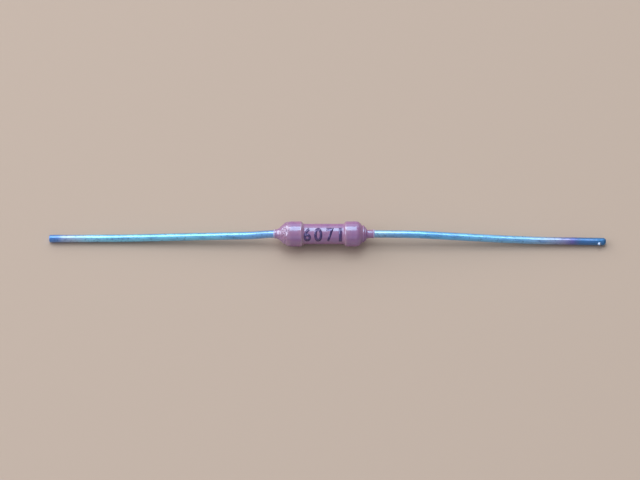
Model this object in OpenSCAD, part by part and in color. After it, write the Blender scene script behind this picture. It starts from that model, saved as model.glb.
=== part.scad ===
// Small axial resistor: a metal film on a ceramic rod, two pressed end caps,
// two welded wire leads and an enamel coat over all of it but the bare wire.
// +X runs along the body, +Z is up and the origin lies on the table under the
// middle of the body. The body rests on its caps and the leads droop until
// their tips touch the table too.

/* [Ceramic rod] */
// Diameter of the rod
rod_d = 1.36; // [1:0.02:2]
// Length of the rod
rod_l = 5.4; // [4.6:0.1:7]
// Chamfer at each end of the rod
rod_chamfer = 0.1; // [0.05:0.01:0.2]

/* [Film] */
// Thickness of the film with its bond layer
film_t = 0.03; // [0.02:0.01:0.05]
// Width of the helical trim groove
groove_w = 0.14; // [0.08:0.02:0.24]
// Pitch of the helical trim groove
groove_pitch = 0.5; // [0.4:0.05:1]
// Plain film left between the groove and each cap
groove_margin = 0.25; // [0.15:0.05:0.6]

/* [End caps] */
// Outer length of a cap
cap_l = 1.2; // [0.9:0.05:1.6]
// Wall of a cap
cap_wall = 0.2; // [0.12:0.01:0.25]
// Base of a cap, where the lead is welded
cap_base = 0.2; // [0.12:0.01:0.3]
// Outer corner radius of the drawn base
cap_corner = 0.18; // [0.12:0.01:0.21]
// Break on the edges of the cap's mouth
cap_edge = 0.03; // [0.02:0.005:0.05]

/* [Leads] */
// Diameter of the wire
lead_d = 0.6; // [0.5:0.05:0.7]
// Diameter of the upset head that is welded to the cap
weld_d = 0.95; // [0.85:0.05:1.1]
// Thickness of the upset head
weld_t = 0.34; // [0.2:0.02:0.4]
// Length of the taper from the head to the wire
weld_taper = 0.2; // [0.1:0.05:0.3]
// Swelling of the wire at a bend, on its diameter
knee_swell = 0.01; // [0.01:0.005:0.03]
// Straight wire left between the enamel and the first bend
lead_straight = 0.25; // [0.15:0.05:0.6]
// Break on the edge of the left tip; the snipped one has twice this
tip_edge = 0.06; // [0.02:0.01:0.1]

/* [Left lead] */
// Length from the cap to the tip
left_l = 18.85; // [17:0.05:28]
// Turn of the plane that it bends in, towards the front
left_roll = 4; // [0:1:40]
// First knee: distance from the cap
left_knee_1 = 2.75; // [2.4:0.05:4]
// First knee: share of the droop
left_share_1 = 0.32; // [0.1:0.01:0.4]
// Second knee: distance from the cap
left_knee_2 = 13; // [10:0.1:14]
// Second knee: share of the droop
left_share_2 = 0.93; // [0.85:0.01:0.96]

/* [Right lead] */
// Length from the cap to the tip
right_l = 19.52; // [18:0.02:28]
// Turn of the plane that it bends in, towards the front
right_roll = 25; // [0:1:40]
// First knee: distance from the cap
right_knee_1 = 4.4; // [3:0.1:6]
// First knee: share of the droop
right_share_1 = 0.05; // [0.02:0.01:0.15]
// Second knee: distance from the cap
right_knee_2 = 11.2; // [10:0.1:12]
// Second knee: share of the droop
right_share_2 = 0.66; // [0.5:0.01:0.72]
// Third knee: distance from the cap
right_knee_3 = 14; // [13:0.1:14.5]
// Third knee: share of the droop
right_share_3 = 0.84; // [0.78:0.01:0.9]
// Slant of the snipped tip
snip_angle = 8; // [0:1:20]

/* [Enamel] */
// Enamel over the film
coat_mid = 0.1; // [0.06:0.01:0.2]
// Enamel over the wall of a cap
coat_cap = 0.09; // [0.06:0.01:0.15]
// Enamel over the weld
coat_weld = 0.07; // [0.05:0.01:0.12]
// Enamel on the wire
coat_wire = 0.02; // [0.015:0.005:0.03]
// Enamel in the bead where the coat ends on the wire
coat_bead = 0.04; // [0.035:0.005:0.06]
// How far the enamel runs out from the left cap
left_neck = 1.05; // [0.9:0.05:1.4]
// How far the enamel runs out from the right cap
right_neck = 1.13; // [0.9:0.05:1.4]
// How far before the end of a cap its shoulder starts to fall
shoulder_set = 0.12; // [0.08:0.01:0.14]
// Radius of the left shoulder
left_shoulder = 0.7; // [0.4:0.05:0.8]
// Radius of the hollow where the left shoulder runs out on the wire
left_hollow = 0.45; // [0.3:0.05:0.55]
// Enamel left on the wire past the hollow
left_lip = 0.24; // [0.2:0.01:0.4]
// Radius of the right shoulder
right_shoulder = 0.55; // [0.3:0.05:0.65]
// Radius in the step between a cap and the middle
step_round = 0.08; // [0.04:0.01:0.12]

/* [Hidden] */
$fn = 48;
arc_step = 12;
film_facets = 24;
eps = 0.01;

rod_r = rod_d / 2;
film_r = rod_r + film_t;
film_l = rod_l - 2 * rod_chamfer;
cap_r = film_r + cap_wall;
cap_face = rod_l / 2 + cap_base;
cap_mouth = cap_face - cap_l;
lead_r = lead_d / 2;
weld_r = weld_d / 2;
weld_face = cap_face + weld_t;
taper_end = weld_face + weld_taper;
mid_r = film_r + coat_mid;
body_r = cap_r + coat_cap;
axis_h = body_r;
droop = axis_h - lead_r;

// ---- Outlines: every point is [distance from the middle, radius] ----

// Points of an arc that rounds corner b, between the lines from a and to c
function rounded(a, b, c, r) =
    let (
        u = (a - b) / norm(a - b),
        v = (c - b) / norm(c - b),
        half = acos(u * v) / 2,
        centre = b + (u + v) / norm(u + v) * r / sin(half),
        from = b + u * r / tan(half) - centre,
        start = atan2(from[1], from[0]),
        side = sign(u[0] * v[1] - u[1] * v[0]),
        turn = -side * (180 - 2 * half),
        steps = max(1, ceil(abs(turn) / arc_step))
    )
    [for (i = [0 : steps])
        let (angle = start + turn * i / steps)
        centre + r * [cos(angle), sin(angle)]];

// A line of corners [distance, radius, rounding] as points. The ends stay sharp.
function outline(corners) =
    let (points = [for (c = corners) [c[0], c[1]]], last = len(corners) - 1)
    [for (i = [0 : last])
        each (i == 0 || i == last || corners[i][2] == 0)
            ? [points[i]]
            : rounded(points[i - 1], points[i], points[i + 1], corners[i][2])];

function reversed(points) = [for (i = [len(points) - 1 : -1 : 0]) points[i]];
function mirrored(points) = [for (p = reversed(points)) [-p[0], p[1], p[2]]];

// Corners of the outside of a cap, from the film at its mouth to the weld
cap_outside = [
    [cap_mouth + cap_edge, film_r, 0],
    [cap_mouth, film_r + cap_edge, 0],
    [cap_mouth, cap_r, cap_edge],
    [cap_face, cap_r, cap_corner],
    [cap_face, weld_r, 0]
];

// Corners of the outside of a lead's welded end, from the cap to the wire
weld_outside = [
    [cap_face, weld_r, 0],
    [weld_face, weld_r, weld_t / 5],
    [taper_end, lead_r, 0]
];

// What the enamel lies on, from the mouth of a cap to the end of a neck
function under_enamel(neck) = concat(
    outline(cap_outside),
    [for (i = [1 : len(weld_points) - 1]) weld_points[i]],
    [[cap_face + neck, lead_r]]
);
weld_points = outline(weld_outside);

// Corners of the enamel where it steps up from the film to the wall of a cap
step_corners = [
    [cap_mouth - coat_cap, mid_r, step_round],
    [cap_mouth - coat_cap / 3, body_r, coat_cap]
];

// Corners of the enamel where it ends on the wire, in a small bead
function bead_corners(neck) = [
    [cap_face + neck - coat_bead, lead_r + coat_bead, coat_bead / 2],
    [cap_face + neck, lead_r + coat_bead / 3, 0]
];

// Left end: the enamel pooled in a smooth trumpet from the cap to the wire
left_corners = concat(
    step_corners,
    [
        [cap_face - shoulder_set, body_r, left_shoulder],
        [cap_face + left_neck - left_lip, lead_r + 2 * coat_wire, left_hollow],
    ],
    bead_corners(left_neck)
);

// Right end: a thinner coat that shows the edge of the welded head as a ledge
right_corners = concat(
    step_corners,
    [
        [cap_face - shoulder_set, body_r, right_shoulder],
        [weld_face - coat_weld / 2, weld_r + 1.2 * coat_weld, coat_weld / 4],
        [weld_face + coat_weld / 2, weld_r + coat_weld, coat_weld / 2],
        [taper_end, lead_r + 2 * coat_wire, coat_weld],
        [cap_face + right_neck - 3 * coat_bead, lead_r + coat_wire, coat_bead],
    ],
    bead_corners(right_neck)
);

// ---- Placing ----

// Stands a turned shape on the body's axis, with the outline's distance along +X
module turned(points) {
    translate([0, 0, axis_h])
    rotate([90, 0, 90])
    rotate_extrude()
    polygon([for (p = points) [p[1], p[0]]]);
}

// ---- Sub-parts ----

module ceramic_rod() {
    end = rod_l / 2;
    half = [[end - rod_chamfer, rod_r], [end, rod_r - rod_chamfer], [end, 0]];
    color("ivory")
    turned(concat(mirrored(half), half));
}

// One of the thin slices that the trim groove is hulled from
module groove_slice(turns) {
    translate([(turns - groove_turns / 2) * groove_pitch, 0, 0])
    rotate([360 * turns, 0, 0])
    translate([0, 0, film_r])
    cube([groove_w, eps, 4 * film_t], center = true);
}

groove_span = 2 * (cap_mouth - groove_margin) - groove_w;
groove_steps = floor(groove_span / groove_pitch * film_facets);
groove_turns = groove_steps / film_facets;

module resistive_film() {
    color("dimgray")
    translate([0, 0, axis_h])
    difference() {
        rotate([0, 90, 0])
        difference() {
            cylinder(h = film_l, r = film_r, center = true, $fn = film_facets);
            cylinder(h = film_l + eps, r = rod_r / cos(180 / film_facets),
                center = true, $fn = film_facets);
        }
        for (i = [0 : groove_steps - 1])
            hull() {
                groove_slice(i / film_facets);
                groove_slice((i + 1) / film_facets);
            }
    }
}

module end_cap() {
    inside = [
        [rod_l / 2, 0, 0],
        [rod_l / 2, film_r, rod_chamfer / 2]
    ];
    color("silver")
    turned(outline(concat(inside, cap_outside, [[cap_face, 0, 0]])));
}

// A wire through corner points [distance from the cap, share of the droop]. Each
// straight leg starts at the end of the one before it and turns a little.
// The edge of the tip is broken by the amount given.
module bent_wire(corners, roll, edge) {
    points = [for (c = corners) [c[0], c[1] * droop / cos(roll)]];
    translate([cap_face + corners[0][0], 0, axis_h])
    rotate([-roll, 0, 0])
    rotate([0, 90, 0])
    wire_leg(points, 0, 0, edge);
}

module wire_leg(points, i, heading, edge) {
    leg = points[i + 1] - points[i];
    slope = atan2(leg[1], leg[0]);
    is_last = i == len(points) - 2;
    straight = norm(leg) - (is_last ? edge : 0);
    sphere(d = lead_d + knee_swell);
    rotate([0, slope - heading, 0]) {
        cylinder(h = straight, d = lead_d);
        translate([0, 0, straight])
        if (is_last)
            cylinder(h = edge, r1 = lead_r, r2 = lead_r - edge);
        else
            wire_leg(points, i + 1, slope, edge);
    }
}

// Wire from the weld to the first bend, with its upset head
module welded_end(first_bend) {
    turned(concat(
        [[cap_face, 0]],
        weld_points,
        [[cap_face + first_bend, lead_r], [cap_face + first_bend, 0]]
    ));
}

module lead_left() {
    first_bend = left_neck + lead_straight;
    color("lightsteelblue")
    mirror([1, 0, 0]) {
        welded_end(first_bend);
        bent_wire([
            [first_bend, 0],
            [left_knee_1, left_share_1],
            [left_knee_2, left_share_2],
            [left_l, 1]
        ], left_roll, tip_edge);
    }
}

module lead_right() {
    first_bend = right_neck + lead_straight;
    color("lightsteelblue")
    difference() {
        union() {
            welded_end(first_bend);
            bent_wire([
                [first_bend, 0],
                [right_knee_1, right_share_1],
                [right_knee_2, right_share_2],
                [right_knee_3, right_share_3],
                [right_l, 1]
            ], right_roll, 2 * tip_edge);
        }
        // Slanted cut of the snipped tip, longest at the back
        translate([cap_face + right_l, lead_r - droop * tan(right_roll), 0])
        rotate([0, 0, -snip_angle])
        translate([0, -2 * lead_d, -lead_d])
        cube([2 * lead_d, 3 * lead_d, 3 * lead_d]);
    }
}

module enamel_coat() {
    color("rosybrown")
    turned(concat(
        outline(concat(mirrored(left_corners), right_corners)),
        reversed(under_enamel(right_neck)),
        reversed(mirrored(under_enamel(left_neck)))
    ));
}

ceramic_rod();
resistive_film();
mirror([1, 0, 0]) end_cap();  // end_cap_left
end_cap();  // end_cap_right
lead_left();
lead_right();
enamel_coat();
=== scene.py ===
import math

import bpy
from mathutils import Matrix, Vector


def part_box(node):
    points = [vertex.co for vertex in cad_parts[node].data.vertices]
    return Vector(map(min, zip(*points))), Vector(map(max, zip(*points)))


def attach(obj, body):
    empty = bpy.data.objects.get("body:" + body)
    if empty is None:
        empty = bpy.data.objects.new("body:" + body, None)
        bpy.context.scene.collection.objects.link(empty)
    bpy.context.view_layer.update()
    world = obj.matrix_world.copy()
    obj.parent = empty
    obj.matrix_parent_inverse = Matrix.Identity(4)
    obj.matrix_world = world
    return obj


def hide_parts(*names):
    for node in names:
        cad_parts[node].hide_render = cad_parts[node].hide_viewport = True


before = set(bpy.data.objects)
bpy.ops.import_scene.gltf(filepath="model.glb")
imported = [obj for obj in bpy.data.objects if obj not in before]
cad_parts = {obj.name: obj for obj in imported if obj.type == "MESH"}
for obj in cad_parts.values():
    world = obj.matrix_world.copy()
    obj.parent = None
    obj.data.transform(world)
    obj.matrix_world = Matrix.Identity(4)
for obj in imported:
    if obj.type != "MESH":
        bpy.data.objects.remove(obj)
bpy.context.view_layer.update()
mm = 0.001                  # lengths are in metres, and angles in the settings in degrees
print("frame loaded")


# sizes that several pieces share; what the frame knows is taken from it

coatLow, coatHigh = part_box("enamel_coat")
capLow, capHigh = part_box("end_cap_right")
leadLow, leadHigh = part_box("lead_left")
axisHeight = (coatLow.z + coatHigh.z) / 2
coatRadius = coatHigh.y
capRadius = capHigh.y
capFace = capHigh.x
capMouth = capLow.x
weldRadius = leadHigh.y
leftTip = leadLow.x
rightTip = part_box("lead_right")[1].x
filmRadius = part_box("resistive_film")[1].y
wireRadius = 0.3 * mm
weldLong = 0.34 * mm        # thickness of the upset head on each lead
weldRound = weldLong / 5
taperLong = 0.2 * mm        # from the head down to the wire
mergeWithin = 0.0005 * mm   # points closer than this become one
cutWithin = 0.0001 * mm     # points this close to a cut lie on it
arcStep = math.radians(10)  # between the points of a rounded corner


# selecting and shaping

def deselectAll():
    if bpy.context.object and bpy.context.object.mode == "EDIT":
        bpy.ops.object.mode_set(mode="OBJECT")
    bpy.ops.object.select_all(action="DESELECT")


def select(piece):
    deselectAll()
    piece.select_set(True)
    bpy.context.view_layer.objects.active = piece


def pickNone(piece):
    # leaves nothing selected in the mesh
    select(piece)
    bpy.ops.object.mode_set(mode="EDIT")
    bpy.ops.mesh.select_all(action="DESELECT")
    bpy.ops.object.mode_set(mode="OBJECT")


def applyModifier(piece, name):
    select(piece)
    bpy.ops.object.modifier_apply(modifier=name)


def edgeChain(name, points):
    # one edge after another, drawn by extruding a single vertex
    deselectAll()
    bpy.ops.mesh.primitive_plane_add(size=mm, location=points[0])
    chain = bpy.context.object
    chain.name = name
    bpy.ops.object.mode_set(mode="EDIT")
    bpy.ops.mesh.select_all(action="SELECT")
    bpy.ops.mesh.merge(type="CENTER")
    for before, here in zip(points, points[1:]):
        bpy.ops.mesh.extrude_region_move(TRANSFORM_OT_translate={"value": here - before})
    bpy.ops.object.mode_set(mode="OBJECT")
    bpy.ops.object.transform_apply(location=True, rotation=True, scale=True)
    return chain


def turn(chain, height, sides):
    # turns the chain once round a line along X at this height, and closes it
    select(chain)
    bpy.ops.object.mode_set(mode="EDIT")
    bpy.ops.mesh.select_all(action="SELECT")
    bpy.ops.mesh.spin(steps=sides, angle=2 * math.pi, center=(0, 0, height), axis=(1, 0, 0))
    bpy.ops.mesh.select_all(action="SELECT")
    bpy.ops.mesh.remove_doubles(threshold=mergeWithin)
    bpy.ops.mesh.normals_make_consistent(inside=False)
    bpy.ops.object.mode_set(mode="OBJECT")


def weigh(piece, name, weight):
    # a vertex group whose weights are worked out from each vertex
    group = piece.vertex_groups.new(name=name)
    for vertex in piece.data.vertices:
        value = weight(vertex)
        if value > 0:
            group.add([vertex.index], min(1, value), "REPLACE")


def isIn(vertex, groupNumber):
    return any(member.group == groupNumber for member in vertex.groups)


def roughen(piece, name, size, strength, group="", direction="NORMAL", middle=0.5, drawn=1,
            basis="BLENDER_ORIGINAL"):
    # an uneven surface: displaced by clouds of this size, drawn out round the X axis
    clouds = bpy.data.textures.new(name, "CLOUDS")
    clouds.noise_scale = size
    clouds.noise_depth = 2
    clouds.noise_basis = basis
    deselectAll()
    bpy.ops.object.empty_add(location=(0, 0, 0))
    ruler = bpy.context.object
    ruler.scale = (1, drawn, drawn)
    displace = piece.modifiers.new(name, "DISPLACE")
    displace.texture = clouds
    displace.texture_coords = "OBJECT"
    displace.texture_coords_object = ruler
    displace.direction = direction
    displace.strength = strength
    displace.mid_level = middle
    displace.vertex_group = group
    applyModifier(piece, name)
    select(ruler)
    bpy.ops.object.delete()


def smooth(piece, angle):
    select(piece)
    bpy.ops.object.shade_smooth_by_angle(angle=math.radians(angle))


def swell(x, middle, reach):
    # 1 at the middle, falling smoothly to 0 at the reach
    share = max(0, 1 - abs(x - middle) / reach)
    return share * share * (3 - 2 * share)


def roundedLine(corners, step):
    # corners are (distance, offset, rounding): rounds them, then adds points evenly
    line = []
    last = len(corners) - 1
    for i, (x, y, radius) in enumerate(corners):
        here = Vector((x, y))
        if i in (0, last) or radius == 0:
            line.append(here)
            continue
        u = (Vector(corners[i - 1][:2]) - here).normalized()
        v = (Vector(corners[i + 1][:2]) - here).normalized()
        half = u.angle(v) / 2
        centre = here + (u + v).normalized() * radius / math.sin(half)
        start = here + u * radius / math.tan(half) - centre
        end = here + v * radius / math.tan(half) - centre
        sweep = math.pi - 2 * half
        steps = max(2, math.ceil(sweep / arcStep))
        for k in range(steps + 1):
            share = k / steps
            arc = start * math.sin((1 - share) * sweep) + end * math.sin(share * sweep)
            line.append(centre + arc / math.sin(sweep))
    spaced = [line[0]]
    for here in line[1:]:
        gap = here - spaced[-1]
        parts = max(1, math.ceil(gap.length / step))
        before = spaced[-1]
        spaced += [before + gap * (k + 1) / parts for k in range(parts)]
    return spaced


# camera, light and floor

viewSettings = {
    "elevation": 62,
    "distance": 150 * mm,
    "widthShown": 50.6 * mm,
    "right": -0.28 * mm,
    "down": 0.48 * mm,
    "sensor": 36,
    "nearest": 5 * mm,
    "farthest": 5,
}

lights = [
    # turn is from straight behind towards the left; power is in watts
    {"name": "window", "turn": 6, "elevation": 67, "wide": 0.32, "tall": 0.40,
     "power": 1.5, "colour": (0.90, 0.96, 1.0)},
    {"name": "backWall", "turn": 15, "elevation": 36, "wide": 1.6, "tall": 0.5,
     "power": 2.05, "colour": (1.0, 0.96, 0.95)},
    {"name": "leftWall", "turn": 72, "elevation": 30, "wide": 0.65, "tall": 0.42,
     "power": 1.7, "colour": (1.0, 0.96, 1.0)},
    {"name": "leftCorner", "turn": 112, "elevation": 36, "wide": 0.42, "tall": 0.34,
     "power": 0.38, "colour": (1.0, 0.96, 1.0)},
    {"name": "frontWall", "turn": 180, "elevation": 32, "wide": 0.6, "tall": 0.4,
     "power": 0.26, "colour": (0.90, 0.82, 1.0)},
    {"name": "ceiling", "turn": 180, "elevation": 82, "wide": 0.7, "tall": 0.6,
     "power": 0.43, "colour": (1.0, 0.98, 0.96)},
]
lampDistance = 0.6
room = {"colour": (0.95, 0.97, 1.0), "strength": 0.255}

floorSettings = {
    "size": 0.8,
    "colour": (0.507, 0.417, 0.348),
    "roughness": 0.7,
    "gloss": 0.2,
}


def makeCamera(s):
    tilt = math.radians(s["elevation"])
    back = Vector((0, -math.cos(tilt), math.sin(tilt)))
    up = Vector((0, math.sin(tilt), math.cos(tilt)))
    aim = Vector((s["right"], 0, axisHeight)) - up * s["down"]
    bpy.ops.object.camera_add(location=aim + back * s["distance"],
                              rotation=(math.pi / 2 - tilt, 0, 0))
    camera = bpy.context.object
    camera.name = "camera"
    camera.data.sensor_width = s["sensor"]
    camera.data.lens = s["sensor"] * s["distance"] / s["widthShown"]
    camera.data.clip_start = s["nearest"]
    camera.data.clip_end = s["farthest"]
    bpy.context.scene.camera = camera


def makeLight(s):
    turned = math.radians(s["turn"])
    tilt = math.radians(s["elevation"])
    outward = Vector((-math.sin(turned) * math.cos(tilt), math.cos(turned) * math.cos(tilt),
                      math.sin(tilt)))
    bpy.ops.object.light_add(type="AREA", location=outward * lampDistance,
                             rotation=outward.to_track_quat("Z", "Y").to_euler())
    lamp = bpy.context.object
    lamp.name = s["name"]
    lamp.data.shape = "RECTANGLE"
    lamp.data.size = s["wide"]
    lamp.data.size_y = s["tall"]
    lamp.data.energy = s["power"]
    lamp.data.color = s["colour"]


def makeRoom(s):
    world = bpy.data.worlds.new("room")
    bpy.context.scene.world = world
    world.use_nodes = True
    background = world.node_tree.nodes["Background"]
    background.inputs["Color"].default_value = (*s["colour"], 1)
    background.inputs["Strength"].default_value = s["strength"]


def makeFloor(s):
    bpy.ops.mesh.primitive_plane_add(size=s["size"], location=(0, 0, 0))
    floor = bpy.context.object
    floor.name = "floor"
    material = bpy.data.materials.new("paleFloor")
    material.use_nodes = True
    shader = material.node_tree.nodes["Principled BSDF"]
    shader.inputs["Base Color"].default_value = (*s["colour"], 1)
    shader.inputs["Roughness"].default_value = s["roughness"]
    shader.inputs["Specular IOR Level"].default_value = s["gloss"]
    floor.data.materials.append(material)


deselectAll()
makeCamera(viewSettings)
for light in lights:
    makeLight(light)
makeRoom(room)
makeFloor(floorSettings)
bpy.context.scene.view_settings.view_transform = "Standard"
print("camera, light and floor made")


# nodes for the materials

def addNode(tree, kind, settings=None, **values):
    node = tree.nodes.new(kind)
    for key, value in (settings or {}).items():
        setattr(node, key, value)
    for key, value in values.items():
        node.inputs[key.replace("_", " ")].default_value = value
    return node


def newGroup(name, inputs, outputs):
    # inputs are (name, kind, value); outputs are (name, kind)
    tree = bpy.data.node_groups.new(name, "ShaderNodeTree")
    for label, kind, value in inputs:
        socket = tree.interface.new_socket(name=label, in_out="INPUT", socket_type=kind)
        if value is not None:
            socket.default_value = value
    for label, kind in outputs:
        tree.interface.new_socket(name=label, in_out="OUTPUT", socket_type=kind)
    return tree, tree.nodes.new("NodeGroupInput"), tree.nodes.new("NodeGroupOutput")


def makeMottle():
    # soft patches: 0 to 1, with the edge between them as sharp as Low and High are close
    tree, given, result = newGroup(
        "mottle",
        [("Vector", "NodeSocketVector", None), ("Scale", "NodeSocketFloat", 1000),
         ("Detail", "NodeSocketFloat", 3), ("Low", "NodeSocketFloat", 0.4),
         ("High", "NodeSocketFloat", 0.6)],
        [("Mask", "NodeSocketFloat")])
    noise = addNode(tree, "ShaderNodeTexNoise", Roughness=0.55)
    ease = addNode(tree, "ShaderNodeMapRange", {"interpolation_type": "SMOOTHSTEP"})
    tree.links.new(given.outputs["Vector"], noise.inputs["Vector"])
    tree.links.new(given.outputs["Scale"], noise.inputs["Scale"])
    tree.links.new(given.outputs["Detail"], noise.inputs["Detail"])
    tree.links.new(noise.outputs["Fac"], ease.inputs["Value"])
    tree.links.new(given.outputs["Low"], ease.inputs["From Min"])
    tree.links.new(given.outputs["High"], ease.inputs["From Max"])
    tree.links.new(ease.outputs["Result"], result.inputs["Mask"])
    return tree


def makeDrawnGrain():
    # fine relief drawn out along or round the piece, with a softer swell below it
    fineShare = 0.4
    tree, given, result = newGroup(
        "drawnGrain",
        [("Vector", "NodeSocketVector", None), ("Stretch", "NodeSocketVector", (1, 1, 1)),
         ("Scale", "NodeSocketFloat", 5000), ("Fineness", "NodeSocketFloat", 4)],
        [("Height", "NodeSocketFloat")])
    mapping = addNode(tree, "ShaderNodeMapping")
    fine = addNode(tree, "ShaderNodeTexNoise", Detail=2)
    soft = addNode(tree, "ShaderNodeTexNoise", Detail=1)
    divide = addNode(tree, "ShaderNodeMath", {"operation": "DIVIDE"})
    blend = addNode(tree, "ShaderNodeMath", {"operation": "MULTIPLY_ADD"})
    blend.inputs[1].default_value = fineShare
    tree.links.new(given.outputs["Vector"], mapping.inputs["Vector"])
    tree.links.new(given.outputs["Stretch"], mapping.inputs["Scale"])
    tree.links.new(given.outputs["Scale"], divide.inputs[0])
    tree.links.new(given.outputs["Fineness"], divide.inputs[1])
    tree.links.new(mapping.outputs["Vector"], fine.inputs["Vector"])
    tree.links.new(mapping.outputs["Vector"], soft.inputs["Vector"])
    tree.links.new(given.outputs["Scale"], fine.inputs["Scale"])
    tree.links.new(divide.outputs["Value"], soft.inputs["Scale"])
    tree.links.new(fine.outputs["Fac"], blend.inputs[0])
    tree.links.new(soft.outputs["Fac"], blend.inputs[2])
    tree.links.new(blend.outputs["Value"], result.inputs["Height"])
    return tree


def makeNear():
    # 1 close to the middle, falling to 0 at the reach; Axes says which directions count
    tree, given, result = newGroup(
        "near",
        [("Vector", "NodeSocketVector", None), ("Middle", "NodeSocketVector", (0, 0, 0)),
         ("Axes", "NodeSocketVector", (1, 1, 1)), ("Reach", "NodeSocketFloat", 1)],
        [("Mask", "NodeSocketFloat")])
    away = addNode(tree, "ShaderNodeVectorMath", {"operation": "SUBTRACT"})
    counted = addNode(tree, "ShaderNodeVectorMath", {"operation": "MULTIPLY"})
    distance = addNode(tree, "ShaderNodeVectorMath", {"operation": "LENGTH"})
    half = addNode(tree, "ShaderNodeMath", {"operation": "DIVIDE"})
    half.inputs[1].default_value = 2
    ease = addNode(tree, "ShaderNodeMapRange", {"interpolation_type": "SMOOTHSTEP"})
    tree.links.new(given.outputs["Vector"], away.inputs[0])
    tree.links.new(given.outputs["Middle"], away.inputs[1])
    tree.links.new(away.outputs["Vector"], counted.inputs[0])
    tree.links.new(given.outputs["Axes"], counted.inputs[1])
    tree.links.new(counted.outputs["Vector"], distance.inputs[0])
    tree.links.new(given.outputs["Reach"], half.inputs[0])
    tree.links.new(distance.outputs["Value"], ease.inputs["Value"])
    tree.links.new(given.outputs["Reach"], ease.inputs["From Min"])
    tree.links.new(half.outputs["Value"], ease.inputs["From Max"])
    tree.links.new(ease.outputs["Result"], result.inputs["Mask"])
    return tree


mottle = makeMottle()
drawnGrain = makeDrawnGrain()
near = makeNear()


def newMaterial(name):
    material = bpy.data.materials.new(name)
    material.use_nodes = True
    tree = material.node_tree
    coordinates = addNode(tree, "ShaderNodeTexCoord").outputs["Object"]
    return material, tree, tree.nodes["Principled BSDF"], coordinates


def addMottle(tree, vector, scale, low, high, detail=3):
    node = addNode(tree, "ShaderNodeGroup", {"node_tree": mottle},
                   Scale=scale, Low=low, High=high, Detail=detail)
    tree.links.new(vector, node.inputs["Vector"])
    return node.outputs["Mask"]


def addMix(tree, mask, first, second):
    # colours may be sockets or plain values; 6, 7 and 2 are the node's colour sockets
    node = addNode(tree, "ShaderNodeMix", {"data_type": "RGBA"})
    tree.links.new(mask, node.inputs["Factor"])
    for key, value in ((6, first), (7, second)):
        if isinstance(value, tuple):
            node.inputs[key].default_value = (*value, 1)
        else:
            tree.links.new(value, node.inputs[key])
    return node.outputs[2]


def addRange(tree, value, low, high):
    node = addNode(tree, "ShaderNodeMapRange", To_Min=low, To_Max=high)
    tree.links.new(value, node.inputs["Value"])
    return node.outputs["Result"]


def addNear(tree, vector, middle, reach, axes=(1, 1, 1)):
    node = addNode(tree, "ShaderNodeGroup", {"node_tree": near},
                   Middle=middle, Reach=reach, Axes=axes)
    tree.links.new(vector, node.inputs["Vector"])
    return node.outputs["Mask"]


def addGrain(tree, shader, vector, stretch, scale, depth, fineness=4):
    grain = addNode(tree, "ShaderNodeGroup", {"node_tree": drawnGrain},
                    Stretch=stretch, Scale=scale, Fineness=fineness)
    bump = addNode(tree, "ShaderNodeBump", Strength=1, Distance=depth)
    tree.links.new(vector, grain.inputs["Vector"])
    tree.links.new(grain.outputs["Height"], bump.inputs["Height"])
    tree.links.new(bump.outputs["Normal"], shader.inputs["Normal"])


# materials

# patches are (scale, where they start, where they end), some with their detail;
# grain is (stretch, scale, depth), some with its fineness;
# gloss is (index of refraction, specular level)

enamelFinish = {
    "mauve": (0.345, 0.147, 0.35),
    "rose": (0.41, 0.177, 0.33),
    "clouds": (1100, 0.3, 0.7),
    "dusk": (0.21, 0.093, 0.23),      # thin, darker places
    "specks": (4200, 0.52, 0.72, 4),
    "speckAmount": 0.45,
    "film": (0.52, 0.45, 0.70),       # where it thins out on the wire, made paler as a painted highlight: the bright bar at each neck end
    "thinningAndHighlightReach": 0.12 * mm,
    "roughness": (0.12, 0.22),
    "glossPatches": (1900, 0.3, 0.7),
    "glossTint": (0.42, 0.76, 1.0),
    "gloss": (1.78, 0.9),
    # places along the body that shine more, and their reach: the crumpled skin on the
    # left, and where the enamel ran together at the mouths of the caps
    "glazed": [(-3.25 * mm, 0.75 * mm), (-capMouth, 0.16 * mm), (capMouth, 0.16 * mm)],
    "glaze": (1.95, 0.06),            # index of refraction and roughness
    "rings": ((1, 0.12, 0.12), 6000, 0.012 * mm),
}

inkFinish = {
    "colour": (0.034, 0.009, 0.092),
    "faded": (0.074, 0.033, 0.148),
    "fading": (2600, 0.4, 0.62),
    "worn": (9000, 0.27, 0.35, 4),    # where the print has rubbed away
    "roughness": (0.08, 0.15),
    "glossTint": (0.60, 0.60, 1.0),
    "gloss": (1.8, 0.95),
    "grain": ((1, 0.5, 0.5), 9000, 0.003 * mm),
}

wireFinish = {
    "metallic": 0.68,
    "roughness": (0.28, 0.40),
    "dullPatches": (2400, 0.3, 0.7),
    "lacquer": (1.75, 0.1),           # index of refraction and roughness
    "tipLacquer": (0.45, 3 * mm),     # how much of it is left at the tip, and its reach
    "wander": (1800, 0.8 * mm),       # how the heat colours wander: scale and distance
    "streak": (0.03, 0.18, 0.56),     # long patches where the tint is deeper
    "streaks": (3200, 0.46, 0.66),
    "streakStretch": (0.2, 1, 1),
    "streakAmount": 0.45,
    "blotch": (0.04, 0.10, 0.30),
    "blotches": (5500, 0.54, 0.68, 4),
    "blotchAmount": 0.5,
    "grain": ((0.12, 1, 1), 9000, 0.006 * mm, 3),
}

innerFinish = {
    "patches": (1500, 0.35, 0.65),
    "roughnessSpread": 0.15,
    "grain": (7000, 0.004 * mm),      # scale and depth; each piece has its own stretch
}

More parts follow.
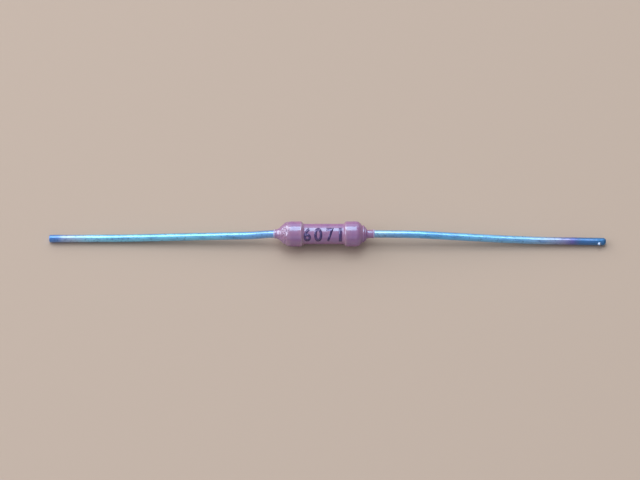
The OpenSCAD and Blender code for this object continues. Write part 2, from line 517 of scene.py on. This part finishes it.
# heat colours along each wire: distance from its tip in mm, colour
leftHeatColours = [
    (0.0, (0.106, 0.297, 0.75)),
    (0.7, (0.117, 0.286, 0.71)),
    (1.1, (0.297, 0.445, 0.77)),
    (1.7, (0.371, 0.551, 0.79)),
    (3.2, (0.265, 0.689, 0.99)),
    (5.0, (0.201, 0.689, 1.00)),
    (13.0, (0.18, 0.668, 1.00)),
    (15.4, (0.148, 0.488, 0.94)),
    (17.8, (0.17, 0.403, 0.81)),
]

rightHeatColours = [
    (0.0, (0.032, 0.201, 0.48)),
    (2.0, (0.016, 0.148, 0.42)),
    (2.7, (0.106, 0.106, 0.45)),
    (3.4, (0.233, 0.254, 0.52)),
    (4.6, (0.276, 0.445, 0.69)),
    (6.5, (0.18, 0.53, 0.89)),
    (14.5, (0.106, 0.519, 0.97)),
    (16.4, (0.18, 0.519, 0.89)),
    (18.4, (0.254, 0.53, 0.78)),
]


def addGloss(shader, s):
    shader.inputs["Specular Tint"].default_value = (*s["glossTint"], 1)
    shader.inputs["IOR"].default_value = s["gloss"][0]
    shader.inputs["Specular IOR Level"].default_value = s["gloss"][1]


def addCoat(shader, coat):
    shader.inputs["Coat IOR"].default_value = coat[0]
    shader.inputs["Coat Roughness"].default_value = coat[1]


def makeEnamelMaterial(s):
    material, tree, shader, place = newMaterial("mauveEnamel")
    alongX = (1, 0, 0)
    body = addMix(tree, addMottle(tree, place, *s["clouds"]), s["mauve"], s["rose"])
    specks = addRange(tree, addMottle(tree, place, *s["specks"]), 0, s["speckAmount"])
    body = addMix(tree, specks, body, s["dusk"])
    # pale rings at both ends of the enamel: its thinning out, and a painted highlight bar
    for end in (coatLow.x, coatHigh.x):
        thinningAndHighlightMask = addNear(tree, place, (end, 0, 0), s["thinningAndHighlightReach"], alongX)
        body = addMix(tree, thinningAndHighlightMask, body, s["film"])
    tree.links.new(body, shader.inputs["Base Color"])
    patches = addMottle(tree, place, *s["glossPatches"])
    tree.links.new(addRange(tree, patches, *s["roughness"]), shader.inputs["Roughness"])
    addGloss(shader, s)
    glazed = [addNear(tree, place, (x, 0, 0), reach, alongX) for x, reach in s["glazed"]]
    shine = glazed[0]
    for spot in glazed[1:]:
        most = addNode(tree, "ShaderNodeMath", {"operation": "MAXIMUM"})
        tree.links.new(shine, most.inputs[0])
        tree.links.new(spot, most.inputs[1])
        shine = most.outputs["Value"]
    tree.links.new(shine, shader.inputs["Coat Weight"])
    addCoat(shader, s["glaze"])
    addGrain(tree, shader, place, *s["rings"])
    return material


def makeInkMaterial(s):
    material, tree, shader, place = newMaterial("navyInk")
    fade = addMottle(tree, place, *s["fading"])
    tree.links.new(addMix(tree, fade, s["colour"], s["faded"]), shader.inputs["Base Color"])
    tree.links.new(addMottle(tree, place, *s["worn"]), shader.inputs["Alpha"])
    tree.links.new(addRange(tree, fade, *s["roughness"]), shader.inputs["Roughness"])
    addGloss(shader, s)
    addGrain(tree, shader, place, *s["grain"])
    return material


def makeWireMaterial(name, s, tip, side, colours):
    # side is the direction in which the tip points
    material, tree, shader, place = newMaterial(name)
    longest = colours[-1][0] * mm

    # distance from the tip as a share of the longest, made to wander
    scale, reach = s["wander"]
    split = addNode(tree, "ShaderNodeSeparateXYZ")
    wander = addNode(tree, "ShaderNodeTexNoise", Scale=scale, Detail=2)
    shift = addNode(tree, "ShaderNodeMath", {"operation": "MULTIPLY_ADD"})
    shift.inputs[1].default_value = reach
    start = tip + reach / 2
    along = addNode(tree, "ShaderNodeMapRange", From_Min=start, From_Max=start - side * longest)
    tree.links.new(place, split.inputs["Vector"])
    tree.links.new(place, wander.inputs["Vector"])
    tree.links.new(wander.outputs["Fac"], shift.inputs[0])
    tree.links.new(split.outputs["X"], shift.inputs[2])
    tree.links.new(shift.outputs["Value"], along.inputs["Value"])

    heat = addNode(tree, "ShaderNodeValToRGB")
    bands = heat.color_ramp.elements
    while len(bands) < len(colours):
        bands.new(0.5)
    for band, (distance, colour) in zip(bands, colours):
        band.position = distance * mm / longest
        band.color = (*colour, 1)
    tree.links.new(along.outputs["Result"], heat.inputs["Fac"])

    drawn = addNode(tree, "ShaderNodeMapping", Scale=s["streakStretch"])
    tree.links.new(place, drawn.inputs["Vector"])
    streaks = addMottle(tree, drawn.outputs["Vector"], *s["streaks"])
    tint = addMix(tree, addRange(tree, streaks, 0, s["streakAmount"]), heat.outputs["Color"],
                  s["streak"])
    blotches = addMottle(tree, place, *s["blotches"])
    tint = addMix(tree, addRange(tree, blotches, 0, s["blotchAmount"]), tint, s["blotch"])
    tree.links.new(tint, shader.inputs["Base Color"])

    patches = addMottle(tree, place, *s["dullPatches"])
    tree.links.new(addRange(tree, patches, *s["roughness"]), shader.inputs["Roughness"])
    shader.inputs["Metallic"].default_value = s["metallic"]
    atTip, tipReach = s["tipLacquer"]
    lacquer = addNode(tree, "ShaderNodeMapRange", From_Max=tipReach / longest, To_Min=atTip)
    tree.links.new(along.outputs["Result"], lacquer.inputs["Value"])
    tree.links.new(lacquer.outputs["Result"], shader.inputs["Coat Weight"])
    addCoat(shader, s["lacquer"])
    addGrain(tree, shader, place, *s["grain"])
    return material


def paleSpotAndGlint(material, middle, reach, colour):
    # a pale spot round one point of a finished material: partly bare metal, partly a painted
    # glint
    tree = material.node_tree
    base = tree.nodes["Principled BSDF"].inputs["Base Color"]
    place = addNode(tree, "ShaderNodeTexCoord").outputs["Object"]
    spot = addNear(tree, place, middle, reach)
    tree.links.new(addMix(tree, spot, base.links[0].from_socket, colour), base)


def makeInnerMaterial(name, colour, shade, metallic, roughness, stretch):
    # for the pieces under the enamel
    s = innerFinish
    material, tree, shader, place = newMaterial(name)
    patches = addMottle(tree, place, *s["patches"])
    rougher = addRange(tree, patches, roughness, roughness + s["roughnessSpread"])
    tree.links.new(addMix(tree, patches, colour, shade), shader.inputs["Base Color"])
    tree.links.new(rougher, shader.inputs["Roughness"])
    shader.inputs["Metallic"].default_value = metallic
    addGrain(tree, shader, place, stretch, *s["grain"])
    return material


enamelMaterial = makeEnamelMaterial(enamelFinish)
inkMaterial = makeInkMaterial(inkFinish)
leftWireMaterial = makeWireMaterial(
    "heatTintedWireLeft", wireFinish, leftTip, -1, leftHeatColours)
rightWireMaterial = makeWireMaterial(
    "heatTintedWireRight", wireFinish, rightTip, 1, rightHeatColours)
innerMaterials = {
    "ceramic_rod": makeInnerMaterial(
        "whiteCeramic", (0.78, 0.76, 0.70), (0.68, 0.65, 0.58), 0, 0.55, (1, 1, 1)),
    "resistive_film": makeInnerMaterial(
        "metalFilm", (0.16, 0.16, 0.17), (0.10, 0.10, 0.11), 0.8, 0.4, (1, 0.2, 0.2)),
    "end_cap_left": makeInnerMaterial(
        "pressedCap", (0.62, 0.62, 0.60), (0.50, 0.49, 0.47), 1, 0.3, (0.1, 1, 1)),
}
innerMaterials["end_cap_right"] = innerMaterials["end_cap_left"]
for nodeName, material in innerMaterials.items():
    cadMesh = bpy.data.objects[nodeName].data
    cadMesh.materials.clear()
    cadMesh.materials.append(material)
print("materials made")


# enamel

enamel = {
    "sides": 176,
    "step": 0.03 * mm,
    "middle": 0.81 * mm,        # radius between the caps
    "valley": 0.14 * mm,        # how far before the cap's mouth the step starts
    "valleyRound": 0.14 * mm,
    "rim": 0.03 * mm,           # how far past the mouth it ends
    "rimRound": 0.16 * mm,
    "shoulderSet": 0.12 * mm,   # how far before the cap's face its shoulder starts to fall
    "leftShoulder": 0.7 * mm,
    "leftHollow": 0.45 * mm,    # where the left shoulder runs out on the wire
    "leftLip": 0.24 * mm,       # enamel on the wire past the hollow
    "rightShoulder": 0.5 * mm,
    # ridges where the enamel ran round the weld: distance from the cap, radius
    "rings": [(0.18 * mm, 0.66 * mm), (0.29 * mm, 0.68 * mm),
              (0.39 * mm, 0.52 * mm), (0.45 * mm, 0.525 * mm)],
    "ringRound": 0.02 * mm,
    "weldCoat": 0.07 * mm,
    "skin": 0.02 * mm,
    "bead": 0.06 * mm,
    "capRound": 0.18 * mm,      # corners of the cap underneath
    "mouthRound": 0.03 * mm,
    "underStep": 1 * mm,
    # size and height of each kind of unevenness
    "waves": (0.6 * mm, 0.022 * mm),
    "wrinkles": (0.25 * mm, -0.28 * mm),
    "raggedEnds": (0.35 * mm, 0.11 * mm),
    "wrinkleRest": 0.3,         # the level of the clouds that moves nothing
    "wrinkleDrawn": 2,
    # where the skin is wrinkled, and where its ends are ragged: middle and reach
    "wrinkled": (-3.08 * mm, 0.45 * mm),
    "ragged": [(coatLow.x, 0.3 * mm), (coatHigh.x, 0.15 * mm)],
    "smoothAngle": 35,
}


def enamelOutline(s):
    step = [
        (capMouth - s["valley"], s["middle"], s["valleyRound"]),
        (capMouth + s["rim"], coatRadius, s["rimRound"]),
    ]
    leftEnd = -coatLow.x
    rightEnd = coatHigh.x
    left = step + [
        (capFace - s["shoulderSet"], coatRadius, s["leftShoulder"]),
        (leftEnd - s["leftLip"], wireRadius + 2 * s["skin"], s["leftHollow"]),
        (leftEnd - s["bead"], wireRadius + s["bead"], s["bead"] / 2),
        (leftEnd, wireRadius + s["bead"] / 3, 0),
    ]
    weldFace = capFace + weldLong
    right = step + [
        (capFace - s["shoulderSet"], coatRadius, s["rightShoulder"]),
        *[(capFace + x, y, s["ringRound"]) for x, y in s["rings"]],
        (weldFace + taperLong, wireRadius + 2 * s["skin"], s["weldCoat"]),
        (rightEnd - 3 * s["bead"], wireRadius + s["skin"], s["bead"]),
        (rightEnd - s["bead"], wireRadius + s["bead"], s["bead"] / 2),
        (rightEnd, wireRadius + s["bead"] / 3, 0),
    ]
    return roundedLine([(-x, y, r) for x, y, r in reversed(left)] + right, s["step"])


def underEnamel(s, end):
    # what the enamel lies on, from the end of a neck back to the mouth of the cap
    return roundedLine([
        (end, wireRadius, 0),
        (capFace + weldLong + taperLong, wireRadius, 0),
        (capFace + weldLong, weldRadius, weldRound),
        (capFace, weldRadius, 0),
        (capFace, capRadius, s["capRound"]),
        (capMouth, capRadius, s["mouthRound"]),
        (capMouth, filmRadius, 0),
    ], s["underStep"])


def makeEnamel(s):
    outside = enamelOutline(s)
    under = underEnamel(s, coatHigh.x)
    under += [Vector((-p.x, p.y)) for p in reversed(underEnamel(s, -coatLow.x))]
    skin = edgeChain("enamelSkin", [Vector((p.x, 0, axisHeight + p.y)) for p in outside + under])
    weigh(skin, "outside", lambda v: 0 < v.index < len(outside) - 1)
    pickNone(skin)
    skin.data.vertices[0].select = True
    skin.data.vertices[-1].select = True
    bpy.ops.object.mode_set(mode="EDIT")
    bpy.ops.mesh.edge_face_add()
    bpy.ops.object.mode_set(mode="OBJECT")
    turn(skin, axisHeight, s["sides"])

    outer = skin.vertex_groups["outside"].index
    weigh(skin, "wrinkled", lambda v: isIn(v, outer) * swell(v.co.x, *s["wrinkled"]))
    weigh(skin, "ends", lambda v: max(swell(v.co.x, *end) for end in s["ragged"]))
    roughen(skin, "waves", *s["waves"], "outside")
    roughen(skin, "wrinkles", *s["wrinkles"], "wrinkled", middle=s["wrinkleRest"],
            drawn=s["wrinkleDrawn"], basis="VORONOI_F2_F1")
    roughen(skin, "raggedEnds", *s["raggedEnds"], "ends", "X")
    smooth(skin, s["smoothAngle"])
    skin.data.materials.append(enamelMaterial)
    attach(skin, "root")
    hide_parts("enamel_coat")
    return skin


enamelSkin = makeEnamel(enamel)
print("enamel made:", len(enamelSkin.data.vertices), "vertices")


# leads

lead = {
    "sides": 40,
    "step": 0.09 * mm,
    "routeStep": 0.3 * mm,
    "taperRound": 0.1 * mm,
    # size and height of each kind of unevenness
    "waves": (0.45 * mm, 0.012 * mm),
    "dents": (0.16 * mm, 0.008 * mm),
    "roughFrom": 1 * mm,        # from the cap, where the unevenness starts
    "smoothAngle": 50,
}

leftLead = {
    "roll": 4,                  # turn of the plane that it droops in, in degrees
    # distance from the cap in mm, share of the droop, radius of the bend in mm
    "bends": [(1.3, 0, 6), (2.75, 0.32, 8), (13, 0.93, 60), (18.85, 1, 0)],
    "tipRound": 0.07 * mm,
}

rightLead = {
    "roll": 25,
    "bends": [(1.38, 0, 30), (4.4, 0.05, 30), (11.2, 0.66, 40), (14, 0.84, 40), (19.52, 1, 0)],
    "tipRound": 0.27 * mm,
    "snipAngle": 8,
    # what each ring of the cut shrinks by, and how far it stands out from the one before
    "snipSteps": [(0.96, 0.025 * mm), (0.90, 0.018 * mm), (0.84, 0.007 * mm),
                  (0.80, -0.015 * mm), (0.5, -0.012 * mm), (0.3, 0)],
    "facing": 0.999,            # how squarely the cut face looks along the cut
}

cutterBurr = {
    "x": 21.82 * mm,
    "angle": 23,                # up from the front
    "reach": 0.16 * mm,
    "height": 0.17 * mm,
    "cuts": 3,
    # the pale spot round the lump: bare metal, and also a painted glint
    "bareMetalAndGlint": (0.62, 0.75, 1.0),
    "bareMetalAndGlintReach": 0.176 * mm,
}


def makeLead(name, s, side, node):
    # a straight wire with its welded head, bent along the route that it droops in
    droop = axisHeight - wireRadius
    roll = math.radians(s["roll"])
    fall = droop / math.cos(roll)
    corners = [(-capFace, 0, 0)] + [(d * mm, share * fall, r * mm) for d, share, r in s["bends"]]
    points = [Vector((side * (capFace + p.x), -p.y * math.sin(roll),
                      axisHeight - p.y * math.cos(roll)))
              for p in roundedLine(corners, lead["routeStep"])]
    length = sum((b - a).length for a, b in zip(points, points[1:]))

    wire = edgeChain(name, [Vector((p.x, 0, p.y)) for p in roundedLine([
        (capFace, 0, 0),
        (capFace, weldRadius, 0),
        (capFace + weldLong, weldRadius, weldRound),
        (capFace + weldLong + taperLong, wireRadius, lead["taperRound"]),
        (length, wireRadius, s["tipRound"]),
        (length, 0, 0),
    ], lead["step"])])
    turn(wire, 0, lead["sides"])

    route = edgeChain(name + "Route", points)
    select(route)
    bpy.ops.object.convert(target="CURVE")
    route = bpy.context.object
    bend = wire.modifiers.new("bend", "CURVE")
    bend.object = route
    bend.deform_axis = "POS_X"
    applyModifier(wire, "bend")
    select(route)
    bpy.ops.object.delete()

    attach(wire, "root")
    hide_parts(node)
    return wire


def snip(wire, s):
    # a slanted cut, longest at the back, with a rounded edge and a slightly cupped face
    angle = math.radians(s["snipAngle"])
    roll = math.radians(s["roll"])
    tip = Vector((capFace + s["bends"][-1][0] * mm,
                  wireRadius - (axisHeight - wireRadius) * math.tan(roll), 0))
    normal = Vector((math.cos(angle), -math.sin(angle), 0))
    rise = sum(max(0, out) for size, out in s["snipSteps"])
    select(wire)
    bpy.ops.object.mode_set(mode="EDIT")
    bpy.ops.mesh.select_mode(type="FACE")
    bpy.ops.mesh.select_all(action="SELECT")
    bpy.ops.mesh.bisect(plane_co=tip - normal * rise, plane_no=normal, threshold=cutWithin,
                        use_fill=True, clear_outer=True)
    pickNone(wire)
    for face in wire.data.polygons:
        face.select = face.normal.dot(normal) > s["facing"] and face.center.x > tip.x - mm
    cut = [face for face in wire.data.polygons if face.select]
    middle = sum((face.center * face.area for face in cut), Vector()) / sum(f.area for f in cut)
    bpy.ops.object.mode_set(mode="EDIT")
    for size, out in s["snipSteps"]:
        bpy.ops.mesh.extrude_region_move(TRANSFORM_OT_translate={"value": normal * out})
        middle += normal * out
        bpy.ops.transform.resize(value=(size, size, size), center_override=middle)
    bpy.ops.mesh.select_all(action="SELECT")
    bpy.ops.mesh.normals_make_consistent(inside=False)
    bpy.ops.object.mode_set(mode="OBJECT")


def burr(wire, material, s):
    # a small lump that the cutters pushed up, with its skin rubbed off; the pale spot on it is
    # partly bare metal, partly a painted glint
    around = math.radians(s["angle"])
    ring = [v.co for v in wire.data.vertices if abs(v.co.x - s["x"]) < lead["step"]]
    outward = Vector((0, -math.cos(around), math.sin(around)))
    place = sum(ring, Vector()) / len(ring) + outward * wireRadius
    pickNone(wire)
    for face in wire.data.polygons:
        face.select = (face.center - place).length < 2 * s["reach"]
    bpy.ops.object.mode_set(mode="EDIT")
    bpy.ops.mesh.subdivide(number_cuts=s["cuts"])
    bpy.ops.object.mode_set(mode="OBJECT")
    weigh(wire, "burred", lambda v: swell((v.co - place).length, 0, s["reach"]))
    push = wire.modifiers.new("push", "DISPLACE")
    push.strength = 2 * s["height"]     # half of it counts, from the middle level up
    push.vertex_group = "burred"
    applyModifier(wire, "push")
    paleSpotAndGlint(material, place, s["bareMetalAndGlintReach"], s["bareMetalAndGlint"])


wireLeft = makeLead("wireLeft", leftLead, -1, "lead_left")
wireRight = makeLead("wireRight", rightLead, 1, "lead_right")
snip(wireRight, rightLead)
burr(wireRight, rightWireMaterial, cutterBurr)
for wire, material in ((wireLeft, leftWireMaterial), (wireRight, rightWireMaterial)):
    weigh(wire, "bare", lambda v: abs(v.co.x) > capFace + lead["roughFrom"])
    roughen(wire, "waves", *lead["waves"], "bare")
    roughen(wire, "dents", *lead["dents"], "bare")
    smooth(wire, lead["smoothAngle"])
    wire.data.materials.append(material)
print("leads made:", len(wireLeft.data.vertices), len(wireRight.data.vertices), "vertices")


# printed digits

marking = {
    # digit, place along the body and width in mm
    "digits": [("6", -1.28, 0.58), ("0", -0.42, 0.66), ("7", 0.52, 0.58), ("1", 1.32, 0.24)],
    "height": 1.08 * mm,
    "bold": 0.035,              # of the size of a letter, as is mergeWithin
    "curveSteps": 8,
    "mergeWithin": 0.0001,
    "elevation": 56,            # of the middle of the print, from the front
    "rows": 16,                 # cuts that let the print wrap round the body
    "proud": 0.004 * mm,
    "thick": 0.008 * mm,
    "inFront": 2 * mm,          # where each digit starts before it is put on
}


def makeDigit(s, digit, x, width):
    deselectAll()
    tilt = math.radians(s["elevation"])
    outward = Vector((0, -math.cos(tilt), math.sin(tilt)))
    bpy.ops.object.text_add(location=(0, 0, 0))
    text = bpy.context.object
    text.name = "print_" + digit
    text.data.body = digit
    text.data.align_x = "CENTER"
    text.data.align_y = "CENTER"
    text.data.offset = s["bold"]
    text.data.resolution_u = s["curveSteps"]
    bpy.ops.object.convert(target="MESH")
    ink = bpy.context.object
    # to size, flat, with its middle at the origin
    low = Vector([min(v.co[k] for v in ink.data.vertices) for k in range(3)])
    high = Vector([max(v.co[k] for v in ink.data.vertices) for k in range(3)])
    bpy.ops.object.mode_set(mode="EDIT")
    bpy.ops.mesh.select_all(action="SELECT")
    bpy.ops.mesh.remove_doubles(threshold=s["mergeWithin"])
    bpy.ops.transform.translate(value=-(low + high) / 2)
    bpy.ops.transform.resize(value=(width / (high.x - low.x), s["height"] / (high.y - low.y), 1),
                             center_override=(0, 0, 0))
    for row in range(1, s["rows"]):
        bpy.ops.mesh.select_all(action="SELECT")
        bpy.ops.mesh.bisect(plane_co=(0, s["height"] * (row / s["rows"] - 0.5), 0),
                            plane_no=(0, 1, 0), threshold=cutWithin)
    bpy.ops.object.mode_set(mode="OBJECT")
    # in front of its place, then on to the enamel
    ink.location = Vector((x, 0, axisHeight)) + outward * s["inFront"]
    ink.rotation_euler = (math.pi / 2 - tilt, 0, 0)
    wrap = ink.modifiers.new("wrap", "SHRINKWRAP")
    wrap.target = enamelSkin
    wrap.wrap_method = "PROJECT"
    wrap.use_project_z = True
    wrap.use_negative_direction = True
    wrap.use_positive_direction = False
    wrap.offset = s["proud"]
    applyModifier(ink, "wrap")
    bpy.ops.object.transform_apply(location=True, rotation=True, scale=True)
    solid = ink.modifiers.new("solid", "SOLIDIFY")
    solid.thickness = s["thick"]
    solid.offset = -1
    applyModifier(ink, "solid")
    ink.data.materials.append(inkMaterial)
    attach(ink, "root")


for digit, x, width in marking["digits"]:
    makeDigit(marking, digit, x * mm, width * mm)
print("digits printed")
